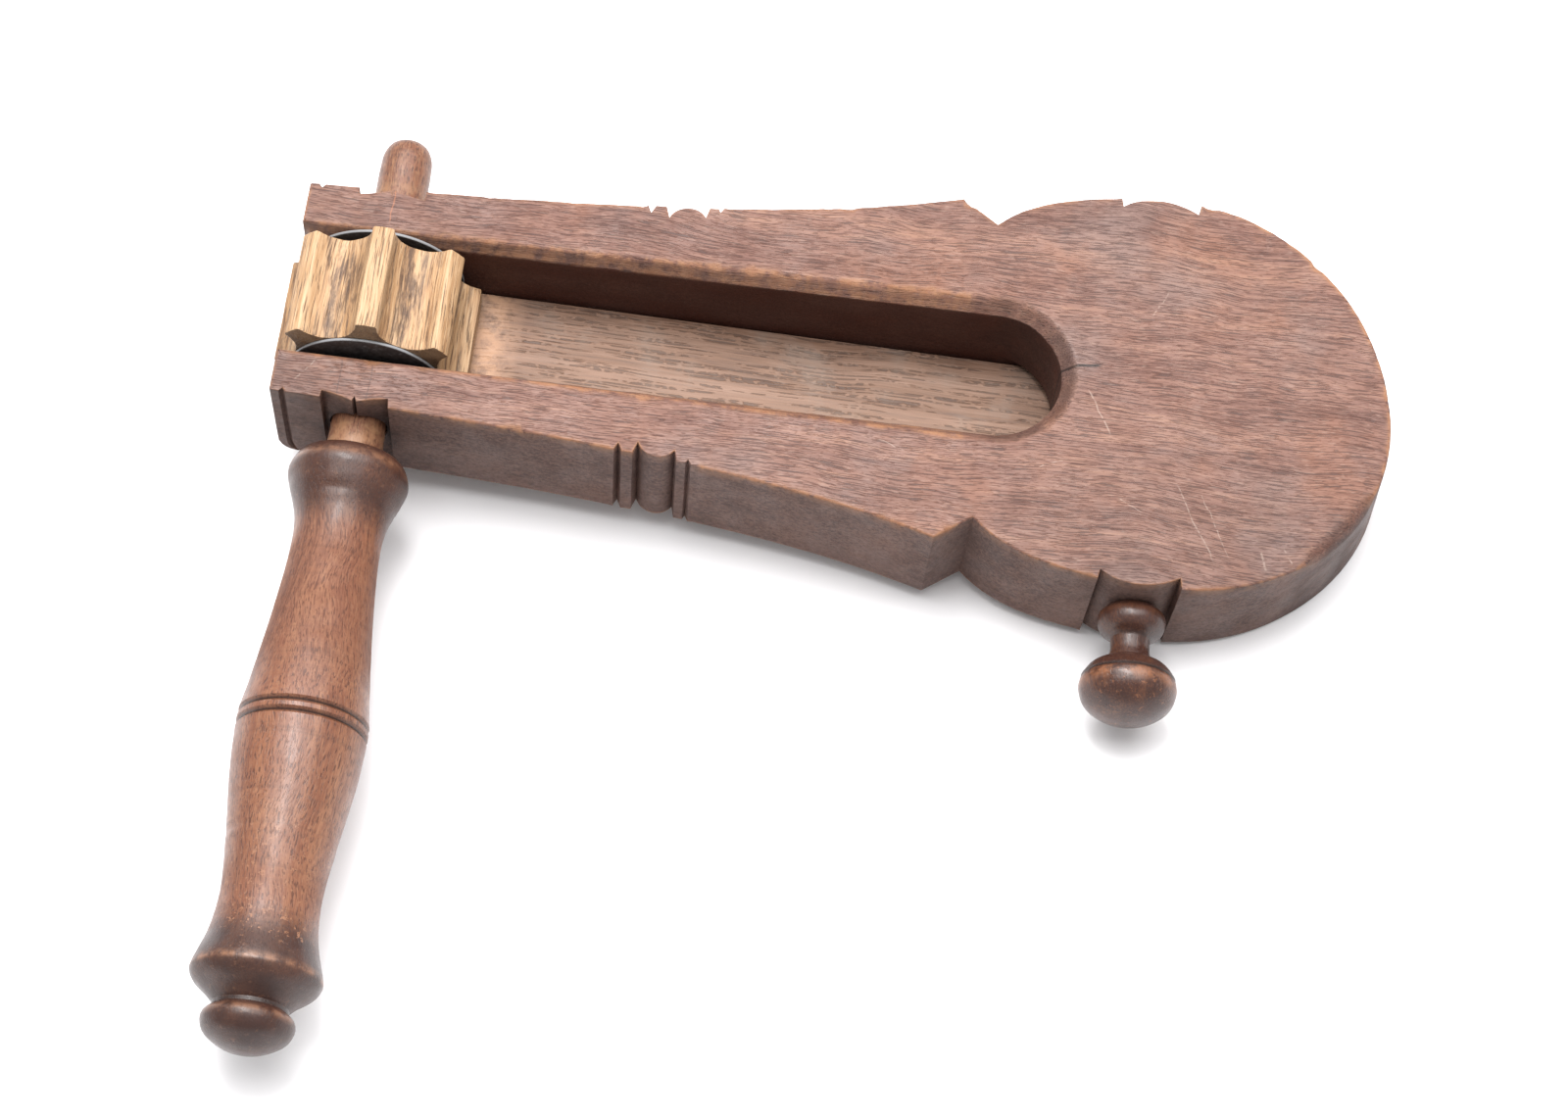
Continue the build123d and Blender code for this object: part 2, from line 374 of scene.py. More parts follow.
class Wood(Nodes):
    """Timber as a solid figure: streaks and pores run along one axis, so end grain shows as dots."""

    def __init__(self, name, along, seed, waver=1.2, light=2.0):
        super().__init__(name)
        self.light = light
        millimetres = self.vector("SCALE", self.position, (0, 0, 0))
        millimetres.node.inputs["Scale"].default_value = 1 / MM
        shifted = self.vector("ADD", millimetres, (seed * 37.0, seed * 91.0, seed * 53.0))
        x, y, z = self.split(shifted)
        self.mm = millimetres
        self.along, self.across, self.through = {"X": (x, y, z), "Y": (y, x, z)}[along]
        sway = self.noise(self.vector("MULTIPLY", shifted, (0.022, 0.022, 0.022)), 2.0)
        sway = self.math("MULTIPLY_ADD", sway, 2 * waver / 0.22, -waver / 0.22)
        self.across = self.math("ADD", self.across, sway)

    def tint(self, red, green, blue):
        return seen(red, green, blue, self.light)

    def streaks(self, along, across, detail=2.0, roughness=0.55, distortion=0.0, offset=0.0):
        """Noise drawn out along the grain: sizes are features per millimetre."""
        place = self.join(
            self.math("MULTIPLY_ADD", self.along, along, offset),
            self.math("MULTIPLY", self.across, across),
            self.math("MULTIPLY", self.through, across),
        )
        return self.noise(place, detail, roughness, distortion)

    def stroke(self, start, end, width):
        """1 on a thin line between two (x, y) points on a face, fading at both ends and at its sides."""
        start, step = np.array(start, float), np.subtract(end, start)
        length = float(np.linalg.norm(step))
        east, north = (float(v) for v in step / length)
        x, y, _ = self.split(self.mm)
        dx = self.math("SUBTRACT", x, float(start[0] + SHAFT[0] / MM))
        dy = self.math("SUBTRACT", y, float(start[1] + SHAFT[1] / MM))
        run = self.math("MULTIPLY_ADD", dx, east, self.math("MULTIPLY", dy, north))
        off = self.math("MULTIPLY_ADD", dx, -north, self.math("MULTIPLY", dy, east))
        off = self.math("ADD", off, self.math("MULTIPLY_ADD", self.blotches(0.12), 2.0, -1.0))
        line = self.between(self.math("ABSOLUTE", off), 0.4 * width, width, 1.0, 0.0)
        first = self.between(run, 0.0, 0.15 * length)
        last = self.between(run, 0.85 * length, length, 1.0, 0.0)
        return self.math("MULTIPLY", line, self.math("MULTIPLY", first, last))

    def blotches(self, scale, detail=3.0, roughness=0.55, offset=0.0):
        place = self.vector("MULTIPLY", self.mm, (scale, scale, scale))
        return self.noise(self.vector("ADD", place, (offset, offset, offset)), detail, roughness)


# ---------------------------------------------------------------- materials
SCRATCHES = [
    ((221, -28), (233, -52), 0.28), ((228, -30), (237, -50), 0.2), ((196, -2), (203, -17), 0.3),
    ((212, 22), (217, 31), 0.25), ((245, -46), (247, -52), 0.4), ((251, -44), (254, -50), 0.3),
    ((184, -29), (192, -25), 0.22), ((206, -35), (213, -39), 0.2), ((140, -26), (149, -29), 0.2),
    ((-17, -29), (-12, -22), 0.3),
]
SCRIBED = [((-4.8, -20), (-4.8, -36), 0.22), ((3.2, -20), (3.2, -36), 0.22)]
RUBBED_LINE = ((0.6, 22), (0.6, 40), 0.25)
CRACK = ((187, 3.0), (200, 5.0), 0.55)


def plank_colour(w, fibre, open_pores):
    """The plank's wood: its figure, orange drifts, grey drifts of dust and painted pinkish sheen,
    dark pores and pale flecks.
    """
    figure = w.streaks(0.008, 0.10, 3.0, 0.6, 0.8)
    tone = w.math("MULTIPLY_ADD", fibre, 0.55, w.math("MULTIPLY", figure, 0.45))
    colour = w.ramp(tone, [
        (0.34, w.tint(118, 76, 63)), (0.46, w.tint(148, 103, 88)),
        (0.55, w.tint(166, 120, 103)), (0.66, w.tint(188, 140, 117)),
    ])
    orange = w.between(w.blotches(0.035, 3.0, 0.6, 4.0), 0.50, 0.68, 0.0, 0.30)
    colour = w.mix(orange, colour, w.tint(184, 122, 90))
    # Grey drifts: partly dust, partly a painted pinkish sheen.
    dust_and_sheen = w.between(w.blotches(0.022, 4.0, 0.65, 9.0), 0.50, 0.70, 0.0, 0.45)
    colour = w.mix(dust_and_sheen, colour, w.tint(150, 126, 120))
    colour = w.lay(colour, open_pores, 0.72, w.tint(78, 46, 38))
    fleck = w.between(w.streaks(0.35, 2.2, 1.0, 0.4, offset=21.0), 0.62, 0.70, 0.0, 0.22)
    return w.mix(fleck, colour, w.tint(214, 178, 160))


def plank_marks(w, colour, up):
    """Scratches and scribed lines on the top face, and the crack at the slot's round end."""
    on_top = w.between(up, 0.6, 0.9)
    marks = w.stroke(*SCRATCHES[0])
    for scratch in SCRATCHES[1:]:
        marks = w.math("MAXIMUM", marks, w.stroke(*scratch))
    marks = w.math("MULTIPLY", marks, w.between(w.blotches(0.8, 2.0), 0.35, 0.55))
    colour = w.lay(colour, w.math("MULTIPLY", marks, on_top), 0.45, w.tint(226, 198, 182))
    scribed = w.math("MAXIMUM", w.stroke(*SCRIBED[0]), w.stroke(*SCRIBED[1]))
    colour = w.lay(colour, w.math("MULTIPLY", scribed, on_top), 0.5, w.tint(84, 56, 48))
    rubbed_line = w.math("MULTIPLY", w.stroke(*RUBBED_LINE), on_top)
    colour = w.lay(colour, rubbed_line, 0.6, w.tint(214, 140, 100))
    return w.lay(colour, w.stroke(*CRACK), 0.9, w.tint(40, 26, 22))


def plank_wear(w, colour):
    """Bare wood on worn edges, and a dark tint: dirt where the plank is handled, darker patches, and
    painted shade over the side faces.
    """
    worn = w.within("worn", 0.38, 0.58, w.blotches(0.16, 4.0, 0.7, 6.0))
    bare = w.mix(w.blotches(0.4, 2.0, 0.6, 1.0), w.tint(180, 114, 78), w.tint(224, 170, 128))
    colour = w.lay(colour, worn, 0.8, bare)
    dirt_and_side_shade = w.within("grime", 0.25, 0.6, w.blotches(0.12, 4.0, 0.7, 12.0))
    return w.lay(colour, dirt_and_side_shade, 0.8, w.tint(74, 52, 46))


def board_material():
    """Reddish-brown plank: interlocked grain, short dark pores, orange where the edges have worn."""
    w = Wood("board_wood", "X", 1.0, waver=0.9, light=2.15)
    fibre = w.streaks(0.07, 1.4, 3.0, 0.6)
    pores = w.between(w.streaks(0.13, 2.9, 1.0, 0.4, offset=3.0), 0.57, 0.645)
    short = w.between(w.streaks(0.42, 4.2, 1.0, 0.4, offset=11.0), 0.60, 0.67)
    open_pores = w.math("MAXIMUM", pores, w.math("MULTIPLY", short, 0.7))
    colour = plank_colour(w, fibre, open_pores)
    up = w.split(w.normal)[2]
    # The side faces are painted darker and greyer than the top, in mottled patches: painted shade.
    side = w.between(w.math("ABSOLUTE", up), 0.35, 0.80, 1.0, 0.0)
    broad = w.math("MULTIPLY", w.blotches(0.05, 4.0), 0.4)
    mottle = w.math("MULTIPLY_ADD", w.blotches(0.9, 3.0, 0.7, 2.0), 0.6, broad)
    side_shade_colour = w.mix(w.between(mottle, 0.36, 0.64), w.tint(76, 60, 57), w.tint(152, 120, 108))
    colour = w.lay(colour, side, 0.68, side_shade_colour)
    # The slot's walls below the bevel are painted dark red-brown: painted shade in the slot.
    colour = w.mix(w.field("slot"), colour, w.tint(98, 42, 22))
    colour = plank_wear(w, plank_marks(w, colour, up))
    satin = w.between(w.blotches(0.09, 4.0, 0.6, 3.0), 0.3, 0.7, 0.42, 0.62)
    rough = w.math("ADD", satin, w.math("MULTIPLY", side, 0.12))
    height = w.math("SUBTRACT", w.math("MULTIPLY", fibre, 0.6), w.math("MULTIPLY", open_pores, 0.9))
    w.surface(colour, rough, w.bump(height, 0.5, 0.00022), specular=0.34)
    return w.material


def tongue_material():
    """Grey-brown oak slat with long dark pores, rubbed pale orange beside the wheel."""
    w = Wood("tongue_wood", "X", 2.0, waver=0.5, light=2.1)
    figure = w.streaks(0.006, 0.16, 3.0, 0.6, 1.0)
    fibre = w.streaks(0.05, 1.7, 3.0, 0.6)
    tone = w.math("MULTIPLY_ADD", fibre, 0.5, w.math("MULTIPLY", figure, 0.5))
    colour = w.ramp(tone, [
        (0.35, w.tint(122, 88, 70)), (0.47, w.tint(158, 120, 97)),
        (0.56, w.tint(176, 137, 114)), (0.66, w.tint(194, 157, 136)),
    ])
    pores = w.between(w.streaks(0.03, 1.15, 2.0, 0.5, 0.12, offset=5.0), 0.525, 0.60)
    broken = w.between(w.streaks(0.45, 0.9, 1.0, 0.5, offset=8.0), 0.36, 0.52)
    pores = w.math("MULTIPLY", pores, broken)
    colour = w.lay(colour, pores, 0.55, w.tint(66, 46, 38))
    rubbed = w.within("rubbed", 0.3, 0.6, w.blotches(0.25, 4.0, 0.7, 5.0))
    colour = w.lay(colour, rubbed, 0.9, w.tint(240, 188, 150))
    dust = w.between(w.blotches(0.05, 4.0, 0.65, 7.0), 0.48, 0.7, 0.0, 0.4)
    colour = w.mix(dust, colour, w.tint(176, 156, 142))
    rough = w.between(fibre, 0.3, 0.7, 0.5, 0.72)
    height = w.math("SUBTRACT", w.math("MULTIPLY", fibre, 0.5), pores)
    w.surface(colour, rough, w.bump(height, 0.6, 0.00025), specular=0.4)
    return w.material


def wheel_material():
    """Yellowish oak with its grain along the axle, stained dark in the valleys and on the end faces."""
    w = Wood("wheel_wood", "Y", 3.0, waver=0.5, light=1.5)
    figure = w.streaks(0.012, 0.22, 3.0, 0.6, 0.6)
    fibre = w.streaks(0.09, 2.2, 3.0, 0.65)
    tone = w.math("MULTIPLY_ADD", fibre, 0.55, w.math("MULTIPLY", figure, 0.45))
    colour = w.ramp(tone, [
        (0.34, w.tint(140, 102, 70)), (0.46, w.tint(188, 146, 104)),
        (0.55, w.tint(208, 170, 130)), (0.66, w.tint(226, 192, 156)),
    ])
    pores = w.between(w.streaks(0.10, 2.4, 2.0, 0.5, offset=5.0), 0.575, 0.65)
    colour = w.lay(colour, pores, 0.75, w.tint(84, 60, 42))
    stain = w.between(w.streaks(0.03, 0.28, 4.0, 0.7, 0.8, offset=13.0), 0.45, 0.58)
    stain = w.math("MULTIPLY", stain, w.field("valley"), clamp=True)
    speckle = w.between(w.streaks(0.3, 1.3, 3.0, 0.7, offset=17.0), 0.35, 0.60)
    stain = w.math("MULTIPLY", stain, w.math("MULTIPLY_ADD", speckle, 0.6, 0.4))
    colour = w.lay(colour, stain, 0.8, w.tint(74, 54, 48))
    end = w.between(w.math("ABSOLUTE", w.split(w.normal)[1]), 0.6, 0.85)
    colour = w.lay(colour, end, 0.72, w.tint(92, 70, 52))
    rough = w.between(fibre, 0.3, 0.7, 0.48, 0.68)
    height = w.math("SUBTRACT", w.math("MULTIPLY", fibre, 0.7), pores)
    w.surface(colour, rough, w.bump(height, 0.6, 0.00025), specular=0.4)
    return w.material


def turned_material(name, seed, light, dark, worn_colour, gloss, has_dull_part=False):
    """Close-grained turned wood, darkened by hands at its flanges and rubbed light on its rims; on
    the handle the pale rim bands are painted highlight lines as well.
    """
    w = Wood(name, "Y", seed, waver=1.4, light=2.1)
    bare = w.tint(*worn_colour)
    figure = w.streaks(0.010, 0.13, 4.0, 0.6, 1.0)
    fibre = w.streaks(0.22, 2.0, 3.0, 0.7)
    tone = w.math("MULTIPLY_ADD", fibre, 0.5, w.math("MULTIPLY", figure, 0.5))
    colour = w.ramp(tone, [(0.36, w.tint(*dark)), (0.50, w.tint(*light)), (0.64, bare)])
    drift = w.between(w.streaks(0.012, 0.07, 2.0, 0.5, offset=31.0), 0.42, 0.62)
    colour = w.lay(colour, drift, 0.35, w.tint(150, 86, 58))
    pores = w.between(w.streaks(0.42, 2.6, 1.0, 0.5, offset=3.0), 0.545, 0.64)
    colour = w.lay(colour, pores, 0.68, w.tint(84, 48, 38))
    pale = w.between(w.streaks(0.30, 2.2, 1.0, 0.5, offset=41.0), 0.58, 0.68)
    colour = w.lay(colour, pale, 0.4, bare)
    turning = w.noise(w.vector("MULTIPLY", w.mm, (0.02, 0.75, 0.02)), 3.0, 0.6)
    colour = w.mix(w.between(turning, 0.5, 0.7, 0.0, 0.25), colour, w.tint(96, 62, 48))
    patina = w.math("MULTIPLY_ADD", w.blotches(0.07, 4.0, 0.7, 5.0), 0.9, -0.15)
    grime = w.math("MULTIPLY", w.field("grime"), w.math("ADD", patina, 0.72), clamp=True)
    soot = w.mix(w.blotches(0.13, 3.0, 0.6, 14.0), w.tint(42, 24, 20), w.tint(84, 52, 44))
    colour = w.lay(colour, grime, 0.96, soot)
    nicks = w.within("nicks", 0.60, 0.66, w.blotches(0.55, 3.0, 0.75, 3.0))
    worn = w.within("worn", 0.35, 0.6, w.blotches(0.2, 4.0, 0.7, 8.0))
    colour = w.lay(colour, w.math("MAXIMUM", worn, nicks), 0.8, bare)
    # Grooves and narrow necks are painted near black: painted shade.
    colour = w.mix(w.field("groove"), colour, w.tint(48, 32, 27))
    rough = w.between(w.blotches(0.11, 4.0, 0.65, 2.0), 0.3, 0.7, gloss, gloss + 0.2)
    coat = 0.22
    if has_dull_part:
        dull = w.field("dull")
        rough = w.math("MULTIPLY_ADD", dull, 0.25, rough)
        coat = w.math("MULTIPLY_ADD", dull, -0.22, 0.22)
        colour = w.lay(colour, dull, 0.25, w.tint(134, 82, 60))
    height = w.math("SUBTRACT", w.math("MULTIPLY", fibre, 0.5), w.math("MULTIPLY", pores, 0.6))
    w.surface(colour, rough, w.bump(height, 0.4, 0.0002), specular=0.32)
    w.put(w.shader.inputs["Coat Weight"], coat)
    w.shader.inputs["Coat Roughness"].default_value = 0.2
    return w.material


def disc_material():
    """Thin black washer: satin and slightly scuffed, with a paler rim."""
    n = Nodes("disc_black")
    place = n.vector("MULTIPLY", n.position, (900.0, 900.0, 900.0))
    scuff = n.noise(place, 4.0, 0.6)
    colour = n.ramp(scuff, [
        (0.35, seen(26, 24, 25)), (0.60, seen(48, 46, 47)), (0.75, seen(86, 84, 84)),
    ])
    colour = n.mix(n.field("rim"), colour, seen(120, 120, 122))
    rough = n.between(scuff, 0.3, 0.7, 0.34, 0.5)
    n.surface(colour, rough, n.bump(scuff, 0.25, 0.0001))
    return n.material


def screw_material():
    """Old brass, dulled brown."""
    n = Nodes("screw_brass")
    place = n.vector("MULTIPLY", n.position, (1400.0, 1400.0, 1400.0))
    tarnish = n.noise(place, 4.0, 0.65)
    colour = n.ramp(tarnish, [(0.35, seen(96, 74, 44)), (0.65, seen(186, 152, 92))])
    rough = n.between(tarnish, 0.3, 0.7, 0.35, 0.6)
    n.surface(colour, rough, n.bump(tarnish, 0.3, 0.0001))
    n.shader.inputs["Metallic"].default_value = 1.0
    return n.material


# ---------------------------------------------------------------- board
def top_loop(node):
    """The outline of a CAD node's top face, in order, in millimetres."""
    mesh = frame["nodes"][node].data
    points = (np.array([v.co for v in mesh.vertices]) - SHAFT) / MM
    keys = [tuple(np.round(p, 3)) for p in points]
    top = points[:, 2].max()
    used = {}
    for polygon in mesh.polygons:
        if all(points[i][2] > top - 0.01 for i in polygon.vertices):
            corners = [keys[i] for i in polygon.vertices]
            for a, b in zip(corners, corners[1:] + corners[:1]):
                used[(a, b)] = True
    follow = {a: b for a, b in used if (b, a) not in used}
    start = next(iter(follow))
    loop, here = [start], follow[start]
    while here != start:
        loop.append(here)
        here = follow[here]
    return np.array(loop)[:, :2]


def refine(loop, spacing):
    """Adds points along a closed outline's long runs."""
    made = []
    for a, b in zip(loop, np.roll(loop, -1, axis=0)):
        count = max(1, int(round(np.linalg.norm(b - a) / spacing)))
        for t in np.arange(count) / count:
            made.append(a + (b - a) * t)
    return np.array(made)


def inward(loop):
    """Unit normals of a closed outline, pointing into the wood."""
    step = np.roll(loop, -1, axis=0) - loop
    step /= np.linalg.norm(step, axis=1)[:, None]
    left = np.c_[-step[:, 1], step[:, 0]]
    both = left + np.roll(left, 1, axis=0)
    both /= np.linalg.norm(both, axis=1)[:, None]
    area = (loop[:, 0] * np.roll(loop[:, 1], -1) - np.roll(loop[:, 0], -1) * loop[:, 1]).sum()
    return both if area > 0 else -both


def end_x(z):
    """The square end's profile: a large round at its foot and a small one at its top."""
    foot = max(0.0, FOOT_ROUND - (z + HALF))
    lip = max(0.0, LIP_ROUND - (HALF - z))
    return (
        BOARD_END_X
        + FOOT_ROUND - math.sqrt(FOOT_ROUND**2 - min(foot, FOOT_ROUND) ** 2)
        + LIP_ROUND - math.sqrt(LIP_ROUND**2 - min(lip, LIP_ROUND) ** 2)
    )


def board_rows(loop):
    """The board as rings of points from its underside to its top, with how worn each point is."""
    n = inward(loop)
    x, y = loop.T
    along_slot = (x > BOARD_END_X + 1.1) & (x < SLOT_ROUND_X + SLOT_MOUTH_ROUND)
    in_slot = (np.abs(y) < SLOT_MOUTH_HALF) & along_slot
    towards = loop - (SLOT_ROUND_X, 0)
    reach = np.maximum(np.linalg.norm(towards, axis=1), 1e-6)[:, None]
    round_end = np.array((SLOT_ROUND_X, 0)) + towards / reach * SLOT_HALF
    straight = np.c_[x, np.sign(y) * SLOT_HALF]
    slot_wall = np.where((x > SLOT_ROUND_X)[:, None], round_end, straight)
    flat = np.c_[x, y, np.zeros(len(x))]
    carved = np.any([(x > low) & (x < high) for low, high in CARVED_X], axis=0) & ~in_slot
    fine = np.where(carved, 0.35, 1.0) * np.where(x < BOARD_END_X + 1.6, 0.4, 1.0)
    edge = (0.75 + 0.45 * noise_at(flat, 0.11, 3.0) + 0.30 * noise_at(flat, 0.45, 8.0)) * fine
    chips = smooth_step(noise_at(flat, 0.21, 40.0), 0.34, 0.6) * fine
    edge = np.clip(edge, 0.2, 1.3) + 1.0 * chips
    facet = smooth_step(x, 254, 261) * smooth_step(-y, 23, 31) * (1 - smooth_step(-y, 45, 51))
    wide = edge + 3.2 * facet
    drop = edge * 0.8 + 2.3 * facet
    ragged = BEVEL_DEPTH + 0.45 * noise_at(flat, 0.13, 20.0) + 0.3 * noise_at(flat, 0.5, 30.0)
    low_edge = 0.8 * fine
    straight_slot = in_slot & (x < SLOT_ROUND_X - 8)
    rows, worn = [], []

    def ring(z, inset, bevel=0.0, wear=0.0):
        """Adds a ring at height z, drawn in from the outline; bevel 0 to 1 goes up the slot's slope."""
        z = np.broadcast_to(z, x.shape).astype(float)
        bevel = np.broadcast_to(bevel, x.shape)[:, None]
        base = np.where(in_slot[:, None], slot_wall + (loop - slot_wall) * bevel, loop)
        toe = TOE_OUT * np.maximum(0, 1 - (y / TOE_HALF) ** 2) ** 1.5 * smooth_step(x, 224, 250)
        at_end = np.clip((-15 - x) / (-15 - BOARD_END_X - TOP_EDGE_ROUND), 0, 1)
        shift = np.array([end_x(v) for v in z]) - (BOARD_END_X + TOP_EDGE_ROUND)
        place = base + n * np.broadcast_to(inset, x.shape)[:, None]
        place[:, 0] += np.where(in_slot, 0, toe * (HALF - z) / (2 * HALF)) + at_end * shift
        points = np.c_[place, z]
        rows.append(points)
        rim = 1 + 1.6 * smooth_step(x, 225, 245) * smooth_step(y, -25, -5)
        worn.append(wear * np.where(in_slot & ~straight_slot, 0.15, 1.0) * (1 - facet) * rim)

    ring(-HALF, low_edge + 0.6, 0, 0.0)
    ring(-HALF, low_edge, 0, 0.5)
    ring(-HALF + 0.15, low_edge * 0.45, 0, 0.9)
    ring(-HALF + 0.55, low_edge * 0.1, 0, 0.5)
    for z in (-15.6, -14.4, -12.8, -10.5, -7.5, -4.5, -1.5, 1.5, 4.5, 7.5, 10.0):
        ring(z, 0)
    ring(np.where(in_slot, HALF - ragged - 0.9, 11.0), 0)
    ring(np.where(in_slot, HALF - ragged - 0.2, 11.6), 0, 0.02, np.where(in_slot, 0.3, 0.0))
    ring(np.where(in_slot, HALF - ragged + 0.25, 12.2), 0, 0.14, np.where(in_slot, 0.9, 0.0))
    ring(np.where(in_slot, HALF - BEVEL_DEPTH / 2, 12.8), 0, 0.52, np.where(in_slot, 0.55, 0.0))
    ring(HALF - drop - 0.25, 0, 1 - (drop + 0.25) / BEVEL_DEPTH, 0.6)
    ring(HALF - drop * 0.9, wide * 0.04, 1 - drop * 0.9 / BEVEL_DEPTH, 1.0)
    ring(HALF - drop * 0.38, wide * 0.30, 1 - drop * 0.38 / BEVEL_DEPTH, 1.0)
    ring(HALF - drop * 0.09, wide * 0.68, 1.0, 0.8)
    ring(HALF, wide, 1.0, 0.4)
    ring(HALF, wide + 0.35 * fine + 0.1, 1.0, 0.15)
    ring(HALF, wide + 1.1 * fine + 0.2, 1.0, 0.0)
    return rows, worn


def cap(ring, first, next_index, spacing):
    """Triangles closing a flat ring whose points start at index first, with extra points inside."""
    outline = ring[:, :2]
    low, high = outline.min(axis=0), outline.max(axis=0)
    across = np.arange(low[1], high[1], spacing)
    grid = [(a, b) for a in np.arange(low[0], high[0], spacing) for b in across]
    flat = [Vector(p) for p in outline] + [Vector(p) for p in grid]
    count = len(outline)
    edges = [(i, (i + 1) % count) for i in range(count)]
    verts, _, faces, origin, _, _ = delaunay_2d_cdt(flat, edges, [], 1, 1e-5)
    index, extra = {}, []
    used = {v for face in faces for v in face}
    for v in sorted(used):
        rim = [o for o in origin[v] if o < count]
        if rim:
            index[v] = first + rim[0]
        else:
            index[v] = next_index + len(extra)
            extra.append((verts[v][0], verts[v][1], ring[0, 2]))
    return np.array(extra), [tuple(index[v] for v in face) for face in faces]


def cutter_turned(name, profile):
    """A turned solid to subtract."""
    return turned(name, np.array(profile, float), columns=64)


def cutter_block(name, low, high):
    """A block to subtract, from its lowest and highest corner."""
    xs, ys, zs = zip(low, high)
    corners = [(a, b, c) for a in xs for b in ys for c in zs]
    faces = [(0, 1, 3, 2), (4, 6, 7, 5), (0, 4, 5, 1), (2, 3, 7, 6), (0, 2, 6, 4), (1, 5, 7, 3)]
    obj = new_mesh(name, corners, faces)
    tidy(obj)
    return obj


def board_dirt(p):
    """Dirt on the faces: most by the handle, on the chamfer and the slot's end; and some darkening on
    the head's near side, by the knob.
    """
    x, y = p[:, 0], p[:, 1]
    by_handle = (1 - smooth_step(x, -10, 45)) * np.where(y < 0, 0.42, 0.22)
    # Darker on the head's near side, by the knob.
    by_knob = smooth_step(x, 150, 205) * smooth_step(-y, 15, 48) * 0.30
    chamfer = (smooth_step(x * 0.775 - y * 0.632, 226.6, 228.4)
               * smooth_step(x, 252, 258) * smooth_step(-y, 22, 28))
    from_round = np.hypot(x - SLOT_ROUND_X, y)
    slot_end = (smooth_step(x, SLOT_ROUND_X - 8, SLOT_ROUND_X + 4)
                * (1 - smooth_step(from_round, 22.0, 23.2)) * 0.6)
    return np.maximum(by_handle + by_knob, np.maximum(chamfer * 0.75, slot_end))


def slot_shade(points):
    """How much painted shade, a dark red-brown, each point of the slot's walls below the bevel gets."""
    x, y, z = points.T
    in_wall = (np.abs(y) < SLOT_HALF + 0.4) & (x < SLOT_ROUND_X + SLOT_HALF + 0.4)
    slot = in_wall * (z < HALF - BEVEL_DEPTH - 0.2) * (x > BOARD_END_X + 1)
    return slot * (0.78 + 0.25 * noise_at(points, (0.04, 0.04, 0.15), 15.0))


def carry_fields(obj, points, fields):
    """Gives each vertex of obj the fields of the nearest of points."""
    near = KDTree(len(points))
    for index, p in enumerate(row(points)):
        near.insert(p, index)
    near.balance()
    nearest = [near.find(v.co)[1] for v in obj.data.vertices]
    set_fields(obj.data, {field: values[nearest] for field, values in fields.items()})


def build_board():
    """The slotted plank with its round head, the spindle's bore and the housing of the tongue's root."""
    loop = refine(top_loop("body_board"), 1.6)
    rows, worn = board_rows(loop)
    columns = len(loop)
    points = np.vstack(rows)
    worn = np.concatenate(worn)
    side = smooth_step(HALF - np.abs(points[:, 2]), 0.6, 2.0)
    rub = noise_at(points, (0.05, 0.05, 0.12), 5.0) * 0.10 * side
    normals = np.tile(inward(loop), (len(rows), 1))
    points[:, :2] += normals * np.maximum(rub, 0)[:, None]

    # The side faces take a quarter of the dark tint all over: painted shade on the sides.
    grime = np.maximum(side * 0.25, board_dirt(points))
    bore = np.hypot(points[:, 0], points[:, 2])
    grime = np.maximum(grime, (1 - smooth_step(bore, 9, 14)) * side)
    faces = ring_faces(len(rows), columns)
    for ring in (0, len(rows) - 1):
        extra, triangles = cap(rows[ring], ring * columns, len(points), 7.0)
        extra[:, 2] -= np.sign(extra[0, 2]) * (0.12 + 0.12 * noise_at(extra, 0.03, 6.0))
        points = np.vstack([points, extra])
        worn = np.concatenate([worn, np.zeros(len(extra))])
        grime = np.concatenate([grime, board_dirt(extra)])
        faces += triangles
    board = new_mesh("board", points, faces)
    tidy(board)
    cut(board, [
        cutter_turned("bore", [(0, -45), (BORE_MOUTH_R + 1.2, -45), (BORE_MOUTH_R + 0.2, -33.6),
                               (BORE_MOUTH_R - 0.6, -32.4), (BORE_R, -30.8), (BORE_R, 30.5),
                               (BORE_R + 0.5, 33.2), (BORE_R + 0.6, 45), (0, 45)]),
        cutter_block("housing", (160, tongue_low[1] - 0.3, -HALF - 2),
                     (tongue_high[0] + 0.3, tongue_high[1] + 0.3, -8.2)),
    ])
    carry_fields(board, points, {"worn": worn, "grime": grime, "slot": slot_shade(points)})
    shade(board, 32)
    finish_piece(board, "frame", ["body_board"], board_material())


# ---------------------------------------------------------------- tongue and screws
def tongue_top(x):
    """Height of the tongue's upper face, which falls towards its root."""
    return tongue_high[2] - (x - tongue_low[0]) * TONGUE_FALL


def screw_hole(side):
    """A countersunk hole from below for the screw on one side of the tongue's root."""
    hole = cutter_turned("hole", [(0, -20), (4.4, -20), (4.4, -16.6), (2.3, -14.2), (2.3, 0), (0, 0)])
    hole.data.transform(Euler((math.radians(90), 0, 0)).to_matrix().to_4x4())
    turned_centre = np.array((SHAFT[0], -SHAFT[2], SHAFT[1]))
    co = np.array([v.co for v in hole.data.vertices])
    co = co - turned_centre + row([(SCREW_X, side * SCREW_Y, 0)])
    hole.data.vertices.foreach_set("co", co.ravel())
    return hole


